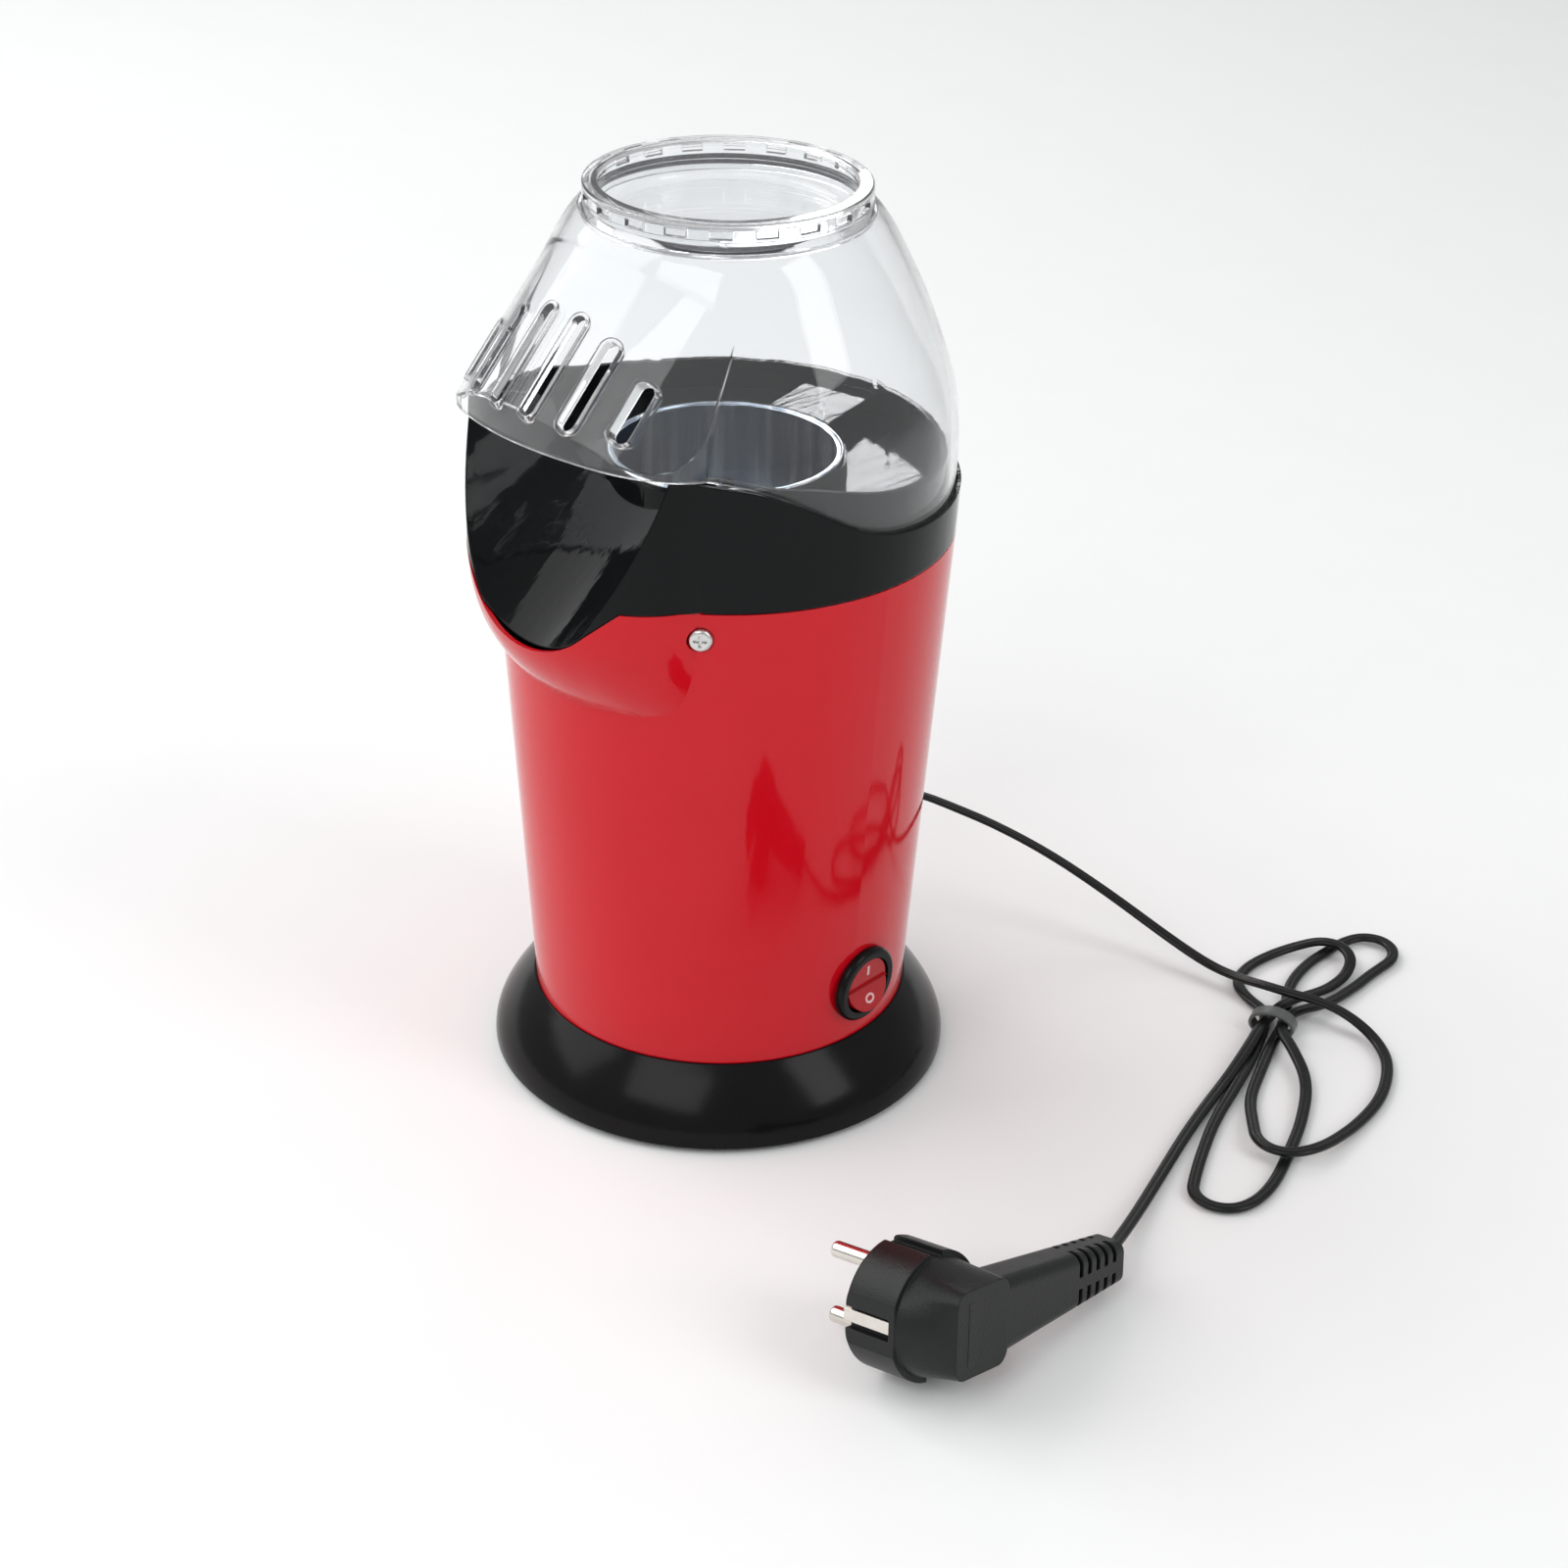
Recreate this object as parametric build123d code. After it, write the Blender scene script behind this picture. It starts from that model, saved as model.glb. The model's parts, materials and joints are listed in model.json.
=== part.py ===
from build123d import *
import os
from math import cos, pi, radians, sin, tan

# Hot-air popcorn maker. Millimetres, +Z up, spout towards -Y. Every piece is made about the axis of
# the round body, and save() then moves it back so that the origin is under the middle of the box.
BODY_SHIFT = 4.25

# Base
BASE_RADIUS = 71.0
BASE_HEIGHT = 24.0
FOOT_HEIGHT = 2.0
FOOT_RADIUS = 6.0
FOOT_CIRCLE = 56.0
PLATE_RADIUS = 66.5
PLATE_TOP = 5.0
BOSS_CIRCLE = 58.0
SCREW_RADIUS = 1.5

# Tapered outer shell
SHELL_LOW_RADIUS = 57.8
SHELL_TOP_RADIUS = 68.0
SHELL_TOP = 178.0
SHELL_WALL = 1.4
SHELL_TAPER = (SHELL_TOP_RADIUS - SHELL_LOW_RADIUS) / (SHELL_TOP - BASE_HEIGHT)
TAPER_ANGLE = 3.79
SCREW_ANGLES = (42.2, -42.2, 180.0)
SCREW_HEIGHT = 170.2
SCREW_SEAT = 0.35

# Upper housing
BAND_TOP_RADIUS = 70.0
BAND_TOP = 218.0
HOUSING_WALL = 2.0
DECK_TOP = 193.5
UPSTAND_RADIUS = 64.2
COLLAR_RADIUS = 35.4
COLLAR_BORE = 33.8
BRIDGE_TURN = 16.0
BRIDGE_SIDES = (-5.8, 16.6)
GAP = 0.3
BAND_EDGE = [
    (-90, 223.6), (-80, 222.4), (-64, 219.3), (-50, 216.6), (-43, 215.2), (-34, 212.0), (-24, 206.5),
    (-14.5, 201.0), (-5, 196.7), (6, 194.2), (30, 192.4), (90, 192.0),
]
UPSTAND_EDGE = [(-90, 214), (-48, 214), (-30, 213), (-15, 210), (0, 206.2), (20, 203.6), (90, 203)]

# Clear cover and measuring cup
SKIRT_RADIUS = 67.4
COVER_WALL = 2.0
NECK_RADIUS = 40.8
NECK_TOP = 278.4
TOTAL_HEIGHT = 280.0
NOTCH_COUNT = 20
VISOR_RADIUS = 55.0
VISOR_SLOTS = [(6.35, 0.0, 31.3), (19.05, 2.6, 30.1), (31.8, 8.0, 26.0)]
SLOT_WIDTH = 4.6
CUP_RADIUS = 38.2
CUP_FLOOR = 269.5
CUP_WALL = 1.6

# Popping chamber, air duct, heater and fan
CHAMBER_RADIUS = 33.4
CHAMBER_WALL = 0.8
CHAMBER_RIM = 200.0
CHAMBER_FLOOR = 117.0
LOUVRE_COUNT = 16
DUCT_RADIUS = 40.0
DUCT_WALL = 0.8
DUCT_LOW = 98.0
FAN_HOUSING_RADIUS = 43.0
FAN_HOUSING_LOW = 70.0
FAN_HOUSING_TOP = 112.0
MOTOR_RADIUS = 18.0
MOTOR_LOW = 36.0
SHAFT_RADIUS = 1.6
SHAFT_PLAY = 0.05
BLADE_COUNT = 12

# Switch
SWITCH_HEIGHT = 42.5
SWITCH_ANGLE = 94.5
BEZEL_RADIUS = 12.2
BARREL_RADIUS = 10.2
ROCKER_RADIUS = 8.5
ROCKER_REST = -10.0

# Cord: a flat two-core lead, as a round tube of about the same section
CORD_RADIUS = 1.6
CORD_HEIGHT = 55.5
BUSH_LENGTH = 22.0
CORD_ROUTE = [
    (0, 81.9, 55.5), (1.2, 89, 52.6), (7, 97.5, 47.5), (17, 108, 41), (31, 120, 31.5),
    (49, 130, 20), (70, 136, 9.5), (86, 138.6, 4), (98, 139.6, 2.2),
]
TAIL_ROUTE = [
    (128, 107, 2.2), (133, 88, 1.7), (140, 68, 1.8), (149, 46, 2), (158, 24, 3.4), (165, 8, 6),
    (170.5, -5.5, 9),
]
LOOP_RIGHT = [
    (116, 143), (138, 154), (163, 144), (176, 110), (176, 78), (166, 72), (151, 78), (131, 106),
]
LOOP_FRONT = [
    (135, 130), (163, 97), (178, 63), (179, 50), (172, 42), (161, 45), (140, 74), (124, 111),
]
LOOPS_BACK = [
    (101, 136), (88.5, 150), (88.5, 165), (98, 178), (104, 198), (111, 203), (119, 197),
    (127, 172), (130, 146),
]
TIE_PLACE = (121, 130, 0)
TIE_TURN = 23.0
LOOP_HEIGHT = 7.0
WAIST = (13.0, 5.0, 8.0)

# Plug: face centre, pin direction and the direction of the cable side
PLUG_PLACE = Plane(origin=(152, -76.5, 18.6), x_dir=(0.058, -0.977, 0.202), z_dir=(-0.98, -0.096, -0.179))
PLUG_RADIUS = 18.4
PLUG_FRONT = 17.0
PIN_RADIUS = 2.4
PIN_LENGTH = 19.0
PIN_ROOT_RADIUS = 2.2
PIN_STEP = 0.3
PIN_SPACING = 19.0
HANDLE_DEPTH = 24.6
HANDLE_END = 67.5


def save(part, name):
    """Write one piece, or a list of equal pieces as one group, in the part's own frame."""
    pieces = part if isinstance(part, list) else [part]
    moved = [Pos(0, BODY_SHIFT, 0) * piece for piece in pieces]
    os.makedirs("parts", exist_ok=True)
    export_step(moved[0] if len(moved) == 1 else Compound(children=moved), f"parts/{name}.step")


def ring(outer, inner, low, high):
    """A plain tube about the body's axis."""
    tube = Cylinder(outer, high - low) - Cylinder(inner, high - low + 2)
    return Pos(0, 0, (low + high) / 2) * tube


def disc(radius, low, high):
    return Pos(0, 0, (low + high) / 2) * Cylinder(radius, high - low)


def frustum(low_radius, high_radius, low, high):
    return Pos(0, 0, (low + high) / 2) * Cone(low_radius, high_radius, high - low)


def block(x, y, z):
    """A box between two limits on each axis."""
    size = [abs(high - low) for low, high in (x, y, z)]
    centre = [(high + low) / 2 for low, high in (x, y, z)]
    return Pos(*centre) * Box(*size)


def posts(radius, circle, count, low, high, start=0.0):
    """Equal upright cylinders on a circle."""
    post = disc(radius, low, high)
    return [place * post for place in PolarLocations(circle, count, start_angle=start)]


def fuse(parts):
    return parts[0] + parts[1:] if len(parts) > 1 else parts[0]


def shell_radius(z):
    return SHELL_LOW_RADIUS + SHELL_TAPER * (z - BASE_HEIGHT)


def outward(angle, z, radius):
    """Place on the shell whose Z points out of it and whose Y points up; angle is from the spout."""
    turn = radians(angle)
    out = Vector(sin(turn), -cos(turn), -tan(radians(TAPER_ANGLE)))
    across = Vector(cos(turn), sin(turn), 0)
    return Plane(origin=(radius * sin(turn), -radius * cos(turn), z), x_dir=across, z_dir=out)


# Outlines of the spout


def beak_plan(grow=0.0, tuck=0.0):
    """Plan face of the spout: a wide front arc and a side arc on each side, ending in the creases."""
    apex = (0, -77.5 - grow)
    corner = (29 + 0.5 * grow, -72 - 0.85 * grow)
    side = (40.5 + 0.76 * grow, -62.5 - 0.65 * grow)
    crease = (46.5 + 0.7 * grow - tuck, -48.0)
    return plan_face(apex, corner, side, crease)


def plan_face(apex, corner, side, crease):
    front = ThreePointArc((-corner[0], corner[1]), apex, corner)
    right = ThreePointArc(corner, side, crease)
    back = Line(crease, (-crease[0], crease[1]))
    left = ThreePointArc((-crease[0], crease[1]), (-side[0], side[1]), (-corner[0], corner[1]))
    return make_face([front, right, back, left])


def beak(grow, low, high):
    return extrude(Pos(0, 0, low) * beak_plan(grow), high - low)


def bulge(inset=0.0):
    """Swelling of the shell under the spout: from inside the cone up to the spout's own outline."""
    sections = []
    for z, apex, corner, side, crease in (
        (140, 63.5, (20, 60.0), (34.5, 53.0), (43, 45.5)),
        (159, 77.0, (20, 73.0), (35, 63.5), (44.6, 46.6)),
        (181, 77.5, (29, 72.0), (40.5, 62.5), (46, 47.4)),
    ):
        points = [(x - 0.6 * inset, inset - y) for x, y in (corner, side, crease)]
        sections.append(Pos(0, 0, z) * plan_face((0, inset - apex), *points))
    return loft(sections)


def chute(grow=0.0):
    """Hollow of the spout: a U that runs down and forward from the chamber's collar to the lip."""
    mouth = chute_section(-84, 153.3 - grow, (24 + grow, 166 - grow), (37 + grow, 190), 43 + grow)
    collar = chute_section(-33, 193.5 - grow, (23 + grow, 195 - grow), (36 + grow, 208), 44 + grow)
    return loft([collar, mouth])


def chute_section(y, low, fold, cheek, edge):
    high = 228.0
    floor = ThreePointArc((-fold[0], fold[1]), (0, low), fold)
    right = ThreePointArc(fold, cheek, (edge, high))
    top = Line((edge, high), (-edge, high))
    left = ThreePointArc((-edge, high), (-cheek[0], cheek[1]), (-fold[0], fold[1]))
    return Plane(origin=(0, y, 0), x_dir=(1, 0, 0), z_dir=(0, -1, 0)) * make_face([floor, right, top, left])


def under_lip(drop=0.0):
    """Everything below the lower edge of the spout, seen from the front."""
    low = 0.0
    lip = SHELL_TOP - drop
    edge = [
        Line((-60, lip), (-47, lip)),
        Line((-47, lip), (-44, lip + 1.2)),
        Line((-44, lip + 1.2), (-33.5, lip + 1.2)),
        ThreePointArc((-33.5, lip + 1.2), (-29.2, lip - 2.8), (-24, lip - 7.5)),
        ThreePointArc((-24, lip - 7.5), (0, lip - 17.6), (24, lip - 7.5)),
        ThreePointArc((24, lip - 7.5), (29.2, lip - 2.8), (33.5, lip + 1.2)),
        Line((33.5, lip + 1.2), (44, lip + 1.2)),
        Line((44, lip + 1.2), (47, lip)),
        Line((47, lip), (60, lip)),
        Line((60, lip), (60, low)),
        Line((60, low), (-60, low)),
        Line((-60, low), (-60, lip)),
    ]
    front = Plane(origin=(0, -46, 0), x_dir=(1, 0, 0), z_dir=(0, -1, 0)) * make_face(edge)
    return extrude(front, 50) + block((-80, 80), (-46, 80), (low, lip))


def under(edge, rise=0.0, low=100.0):
    """Everything below an edge that is drawn in side view, as (y, z) points."""
    points = [(y, z + rise) for y, z in edge]
    curve = Spline(points)
    first, last = points[0], points[-1]
    rest = Polyline([last, (last[0], low), (first[0], low), first])
    return extrude(Plane.YZ * make_face([curve, *rest.edges()]), 100, both=True)


# Base and shell


def base_ring():
    outer = [(BASE_RADIUS, FOOT_HEIGHT), (70.2, 7.5), (67.4, 13), (63, 19), (58.4, BASE_HEIGHT)]
    inner = [(56.2, 21.6), (60.4, 17.4), (64.6, 12.2), (67.4, 7), (68.4, FOOT_HEIGHT)]
    shoulder = Polyline([outer[-1], (56.2, BASE_HEIGHT), inner[0]])
    floor = Line(inner[-1], outer[0])
    section = make_face([Spline(outer), *shoulder.edges(), Spline(inner), floor])
    body = revolve(Plane.XZ * section, Axis.Z)
    body += ring(56.2, 54.4, 20.0, 31.0)
    body += posts(4.0, BOSS_CIRCLE, 4, PLATE_TOP, 18.5)
    return body - posts(SCREW_RADIUS, BOSS_CIRCLE, 4, PLATE_TOP - 1, 15.0)


def bottom_plate():
    plate = disc(PLATE_RADIUS, FOOT_HEIGHT, PLATE_TOP)
    plate -= posts(SCREW_RADIUS + 0.2, BOSS_CIRCLE, 4, 0, 10)
    plate -= posts(3.2, BOSS_CIRCLE, 4, 0, 3.8)
    plate -= posts(2.0, FOOT_CIRCLE, 4, 0, 10, start=45)
    slot = Pos(0, 0, 3.5) * Box(15, 2.6, 6)
    plate -= [place * slot for place in PolarLocations(38, 30)]
    plate -= [place * slot for place in PolarLocations(18, 12)]
    return plate


def rubber_feet():
    pads = posts(FOOT_RADIUS, FOOT_CIRCLE, 4, 0, FOOT_HEIGHT, start=45)
    stems = posts(2.0, FOOT_CIRCLE, 4, FOOT_HEIGHT, PLATE_TOP, start=45)
    return [pad + stem for pad, stem in zip(pads, stems)]


def base_screws():
    heads = posts(2.8, BOSS_CIRCLE, 4, 2.2, 3.8)
    shanks = posts(SCREW_RADIUS, BOSS_CIRCLE, 4, 3.8, 14.0)
    cross = Pos(0, 0, 2.2) * (Box(3.4, 0.7, 1.6) + Box(0.7, 3.4, 1.6))
    crosses = [place * cross for place in PolarLocations(BOSS_CIRCLE, 4)]
    return [head + shank - slot for head, shank, slot in zip(heads, shanks, crosses)]


def shell_blank(inset):
    low = SHELL_LOW_RADIUS - inset
    top = SHELL_TOP_RADIUS - inset
    return frustum(low, top, BASE_HEIGHT, SHELL_TOP) + bulge(inset)


def screw_place(angle):
    return outward(angle, SCREW_HEIGHT, shell_radius(SCREW_HEIGHT))


def outer_shell():
    shell = shell_blank(0) - shell_blank(SHELL_WALL)
    shell &= under_lip()
    shell -= [screw_place(angle) * Cylinder(1.7, 12) for angle in SCREW_ANGLES]
    seat = Pos(0, 0, 5 - SCREW_SEAT) * Cylinder(3.8, 10)
    shell -= [screw_place(angle) * seat for angle in SCREW_ANGLES]
    shell -= switch_place() * Cylinder(BARREL_RADIUS + 0.1, 12)
    shell -= cord_hole() * Cylinder(4.6, 12)
    return shell


def shell_screws():
    screws = []
    for angle in SCREW_ANGLES:
        head = Pos(0, 0, 0.9) * Cylinder(3.5, 1.8)
        head = fillet(head.edges().group_by(Axis.Z)[-1], 1.2)
        shank = Pos(0, 0, -4) * Cylinder(1.5, 8)
        cross = Pos(0, 0, 1.6) * (Box(3.8, 0.8, 1.4) + Box(0.8, 3.8, 1.4))
        screws.append(screw_place(angle) * Pos(0, 0, -SCREW_SEAT) * (head + shank - cross))
    return screws


# Upper housing: band, spout, deck, upstand and collar


def housing_wall(grow):
    band = frustum(SHELL_TOP_RADIUS + grow, BAND_TOP_RADIUS + grow, SHELL_TOP, BAND_TOP)
    return band + beak(grow, 150, 228)


def upper_housing():
    outside = housing_wall(0)
    wall = outside - housing_wall(-HOUSING_WALL) - disc(61, 140, SHELL_TOP + 1)
    scoop = (chute(2.2) - chute()) & outside
    rear = block((-60, 60), (-33, 80), (140, 230))
    scoop = scoop - rear - disc(COLLAR_RADIUS, 140, 230)
    recess = disc(SKIRT_RADIUS + GAP, 180, 240) & block((-90, 90), (-47, 90), (150, 240))
    body = (wall - (recess - under(BAND_EDGE, -3.95)) + scoop) & under(BAND_EDGE)
    ledge = ring(BAND_TOP_RADIUS - 1, 62.2, 170, 230) & outside
    ledge = (ledge & under(BAND_EDGE, -3.8)) - under(BAND_EDGE, -5.8)
    upstand = ring(UPSTAND_RADIUS, 62.2, 184, 230) & under(UPSTAND_EDGE)
    upstand -= under(BAND_EDGE, -5.8)
    back = block((-90, 90), (-47, 90), (150, 240))
    body += (ledge + upstand) & back
    deck = ring(63.0, COLLAR_RADIUS - 1, DECK_TOP - 1.8, DECK_TOP)
    skirt = ring(63.0, 61.4, 184.0, DECK_TOP)
    body += deck + skirt - chute(1.0)
    body += bridge()
    body -= chute()
    body += ring(COLLAR_RADIUS, COLLAR_BORE, DECK_TOP - 8, 198.6)
    body -= under_lip(-GAP)
    body += screw_bosses()
    return body - disc(COLLAR_BORE, 150, 230)


def bridge():
    """Raised duct over the deck, from the collar to the back wall."""
    left, right = BRIDGE_SIDES
    top = block((left, right), (30, 70), (DECK_TOP - 1, 200)) & ring(63.0, COLLAR_RADIUS - 0.4, 190, 201)
    hollow = block((left + 1.6, right - 1.6), (38, 59), (DECK_TOP - 2, 198.4))
    return Rot(0, 0, BRIDGE_TURN) * (top - hollow)


def screw_bosses():
    bosses = []
    for angle in SCREW_ANGLES:
        boss = Pos(0, 0, -5.6) * Cylinder(3.4, 7.6)
        boss = screw_place(angle) * (boss - Pos(0, 0, -5) * Cylinder(1.5, 12))
        radius = shell_radius(SCREW_HEIGHT) - 5
        rib = Rot(0, 0, angle - 90) * block((radius - 4.4, radius), (-2, 2), (SCREW_HEIGHT + 2.4, 192.5))
        bosses += [boss, rib]
    return bosses


# Clear cover


def cover_blank(inset):
    """Solid dome with its spout visor, drawn in by the wall's thickness for the inside."""
    profile = [
        (SKIRT_RADIUS, 186), (SKIRT_RADIUS, 205), (66.9, 214), (65.4, 223), (62.2, 233),
        (58.2, 244), (54.2, 253), (50.2, 261), (46.6, 267.5), (NECK_RADIUS, 274.6),
    ]
    points = [(radius - inset, z - 0.5 * inset) for radius, z in profile]
    curve = Spline(points[1:])
    rest = Polyline([points[-1], (0, points[-1][1]), (0, points[0][1]), points[0], points[1]])
    dome = revolve(Plane.XZ * make_face([curve, *rest.edges()]), Axis.Z)
    return dome + visor(-inset)


def visor_roof(grow):
    """Long cylinder whose top line is the visor's slope; the visor's roof is a strip of it."""
    slope = Plane(origin=(0, -28.5, 206.2), x_dir=(1, 0, 0), z_dir=(0, -0.679, -0.734))
    return slope * Cylinder(VISOR_RADIUS + grow, 170)


def visor(grow):
    """The spout's outline carried up and back into the dome, under the sloping roof."""
    crease = (45.68 + 0.7 * grow, -48.0)
    neck = (crease[0] - 5.7, -28.0)
    rear = make_face(Polyline(crease, neck, (-neck[0], neck[1]), (-crease[0], crease[1]), crease).edges())
    plan = Pos(0, 0, 205) * (beak_plan(1.4 + grow, 1.8) + rear)
    return extrude(plan, 70) & visor_roof(grow)


def slot_prisms(grow, high, low):
    """The visor's six capsule slots, square to its slope."""
    slope = Plane(origin=(0, -58.2, 255), x_dir=(0, -0.679, -0.734), z_dir=(0, -0.734, 0.679))
    prisms = []
    for across, start, end in VISOR_SLOTS:
        for side in (-1, 1):
            length = end - start - SLOT_WIDTH
            capsule = SlotCenterToCenter(length, SLOT_WIDTH + 2 * grow)
            capsule = Pos((start + end) / 2, side * across, low) * capsule
            prisms.append(slope * extrude(capsule, high - low))
    return prisms


def dome_cover():
    inside = cover_blank(COVER_WALL)
    cover = cover_blank(0) - inside - under(BAND_EDGE, GAP)
    rims = (visor(0.7) - visor(-1.0)) & Compound(children=slot_prisms(1.1, 6, -18))
    cover += rims
    cover -= slot_prisms(0, 8, -20)
    skirt = ring(SKIRT_RADIUS, SKIRT_RADIUS - COVER_WALL, 180, 218) - under(BAND_EDGE, -3.4)
    skirt = (skirt & under(BAND_EDGE, 2)) & block((-90, 90), (-46, 90), (150, 230))
    cover += skirt
    neck = ring(NECK_RADIUS, NECK_RADIUS - COVER_WALL, 270, NECK_TOP) - disc(CUP_RADIUS + 1, 260, 290)
    notch = Pos(0, 0, NECK_TOP - 1.6) * Box(8, 6.2, 2.2)
    neck -= [place * notch for place in PolarLocations(NECK_RADIUS - 1, NOTCH_COUNT, start_angle=9)]
    cover = (cover - disc(NECK_RADIUS - COVER_WALL, 250, 290)) + neck
    return cover


def measuring_cup():
    bottom = CUP_RADIUS - 2.6
    outer = frustum(bottom, CUP_RADIUS, CUP_FLOOR - CUP_WALL, TOTAL_HEIGHT - 1)
    outer = fillet(outer.edges().group_by(Axis.Z)[0], 3.0)
    inner = frustum(bottom - CUP_WALL, CUP_RADIUS - CUP_WALL, CUP_FLOOR, TOTAL_HEIGHT - 1)
    inner = fillet(inner.edges().group_by(Axis.Z)[0], 2.0)
    rim = disc(NECK_RADIUS, NECK_TOP + 0.2, TOTAL_HEIGHT)
    rim = fillet(rim.edges().group_by(Axis.Z)[-1], 0.6)
    return outer + rim - inner - disc(CUP_RADIUS - CUP_WALL, TOTAL_HEIGHT - 2, TOTAL_HEIGHT + 2)


# Chamber, duct, heater


def popping_chamber():
    wall = disc(CHAMBER_RADIUS, CHAMBER_FLOOR, CHAMBER_RIM - 0.4)
    wall = fillet(wall.edges().group_by(Axis.Z)[0], 6.0)
    hollow = disc(CHAMBER_RADIUS - CHAMBER_WALL, CHAMBER_FLOOR + CHAMBER_WALL, CHAMBER_RIM + 1)
    hollow = fillet(hollow.edges().group_by(Axis.Z)[0], 5.2)
    flange = ring(CHAMBER_RADIUS + 0.7, CHAMBER_RADIUS - 0.8, CHAMBER_RIM - 1.1, CHAMBER_RIM - 0.3)
    rim = Pos(0, 0, CHAMBER_RIM - 0.4) * Torus(CHAMBER_RADIUS + 0.6, 0.6)
    pan = wall - hollow + flange + rim
    louvre = Rot(32, 0, 0) * Box(6, 1.6, 11)
    places = PolarLocations(CHAMBER_RADIUS, LOUVRE_COUNT)
    return pan - [Pos(0, 0, 131) * place * louvre for place in places]


def air_duct():
    duct = ring(DUCT_RADIUS, DUCT_RADIUS - DUCT_WALL, DUCT_LOW, DECK_TOP - 8.2)
    flange = ring(DUCT_RADIUS, CHAMBER_RADIUS + 0.8, DECK_TOP - 9.0, DECK_TOP - 8.2)
    return duct + flange


def heater_rings(radius):
    return [Pos(0, 0, 106) * Torus(turn, radius) for turn in (12, 20, 28)]


def heater_frame():
    cross = Box(74, 0.8, 12) + Box(0.8, 74, 12)
    frame = Pos(0, 0, 106) * cross
    return frame - heater_rings(0.85)


def heater_coil():
    return heater_rings(0.8)


def thermostat():
    body = Pos(0, DUCT_RADIUS + 2.5, 150) * Rot(90, 0, 0) * Cylinder(7, 7)
    body += block((-10, 10), (DUCT_RADIUS - 1, DUCT_RADIUS + 2), (147, 153))
    body += [block((x - 0.4, x + 0.4), (DUCT_RADIUS + 5, DUCT_RADIUS + 11), (149, 154)) for x in (-3.5, 3.5)]
    return body - disc(DUCT_RADIUS, 100, 200)


def thermal_fuse():
    body = Pos(16, 2.1, 110) * Rot(0, 90, 0) * Cylinder(1.8, 8)
    return body - block((10, 30), (-1, 0.4), (90, 120))


# Fan and motor


def fan_housing():
    cup = ring(FAN_HOUSING_RADIUS, DUCT_RADIUS + 0.1, FAN_HOUSING_LOW, FAN_HOUSING_TOP)
    cup += ring(DUCT_RADIUS + 1, DUCT_RADIUS - 3, DUCT_LOW - 2, DUCT_LOW)
    floor = disc(FAN_HOUSING_RADIUS, FAN_HOUSING_LOW, FAN_HOUSING_LOW + 2) - disc(3.6, 60, 80)
    inlet = [place * Box(9, 8, 10) for place in PolarLocations(26, 8)]
    floor -= [Pos(0, 0, FAN_HOUSING_LOW + 1) * hole for hole in inlet]
    floor -= posts(1.7, 12.5, 2, 60, 80)
    leg = block((-5, 5), (-4, 4), (PLATE_TOP, FAN_HOUSING_LOW))
    legs = [place * leg for place in PolarLocations(37.5, 4, start_angle=45)]
    return cup + floor + legs


def motor_can():
    top = FAN_HOUSING_LOW
    can = disc(MOTOR_RADIUS, MOTOR_LOW, top)
    can = fillet(can.edges().group_by(Axis.Z)[0], 2.0)
    can += disc(3.4, top, top + 2.4)
    can -= posts(SCREW_RADIUS, 12.5, 2, top - 5, top + 1)
    return can - disc(SHAFT_RADIUS + SHAFT_PLAY, MOTOR_LOW + 2, top + 10)


def motor_screws():
    low = FAN_HOUSING_LOW
    shanks = posts(SCREW_RADIUS, 12.5, 2, low - 4.5, low + 2)
    heads = posts(2.6, 12.5, 2, low + 2, low + 3.8)
    return [shank + head for shank, head in zip(shanks, heads)]


def motor_shaft():
    return disc(SHAFT_RADIUS, MOTOR_LOW + 2.3, 95)


def fan_impeller():
    back = disc(35, 77, 78.4)
    hub = disc(5, 77, 93)
    blades = []
    for place in PolarLocations(21, BLADE_COUNT):
        blade = Pos(0, 9, 0) * (Cylinder(16, 12) - Cylinder(15, 14)) & Box(26, 8, 14)
        blades.append(Pos(0, 0, 84.2) * place * Rot(0, 0, 30) * blade)
    return back + hub + blades - disc(SHAFT_RADIUS, 70, 100)


def rectifier_board():
    board = disc(15, MOTOR_LOW - 1.6, MOTOR_LOW)
    for x, y in ((-7, -5), (-7, 5), (-1, -5), (-1, 5)):
        board += block((x - 1.4, x + 1.4), (y - 2.8, y + 2.8), (MOTOR_LOW - 4.4, MOTOR_LOW - 1.6))
    return board + Pos(8, 0, MOTOR_LOW - 5.4) * Cylinder(4, 7.8)


# Switch


def switch_place():
    return outward(SWITCH_ANGLE, SWITCH_HEIGHT, shell_radius(SWITCH_HEIGHT))


def switch_body():
    """Bezel in front of the shell, barrel behind it, open at the front for the rocker."""
    bezel = Pos(0, 0, 1.4) * Cylinder(BEZEL_RADIUS, 2.4)
    bezel = fillet(bezel.edges().group_by(Axis.Z)[-1], 1.4)
    barrel = Pos(0, 0, -7.6) * Cylinder(BARREL_RADIUS, 16.4)
    body = bezel + barrel - Pos(0, 0, -1.4) * Cylinder(ROCKER_RADIUS + 0.7, 9)
    body -= Pos(0, 0, 0) * Rot(0, 90, 0) * Cylinder(1.05, 2 * ROCKER_RADIUS + 3.0)
    return switch_place() * body


def switch_rocker():
    """Round rocker, its two half faces tilted; it rests tipped to the off side."""
    puck = Pos(0, 0, 0.4) * Cylinder(ROCKER_RADIUS, 6.0)
    ramps = [Pos(0, side * 6, 5.1) * Rot(side * 10, 0, 0) * Box(20, 12.6, 4) for side in (-1, 1)]
    body = puck - ramps
    body += Rot(0, 90, 0) * Cylinder(1.0, 2 * ROCKER_RADIUS + 2.4)
    return switch_place() * Rot(ROCKER_REST, 0, 0) * body


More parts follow.
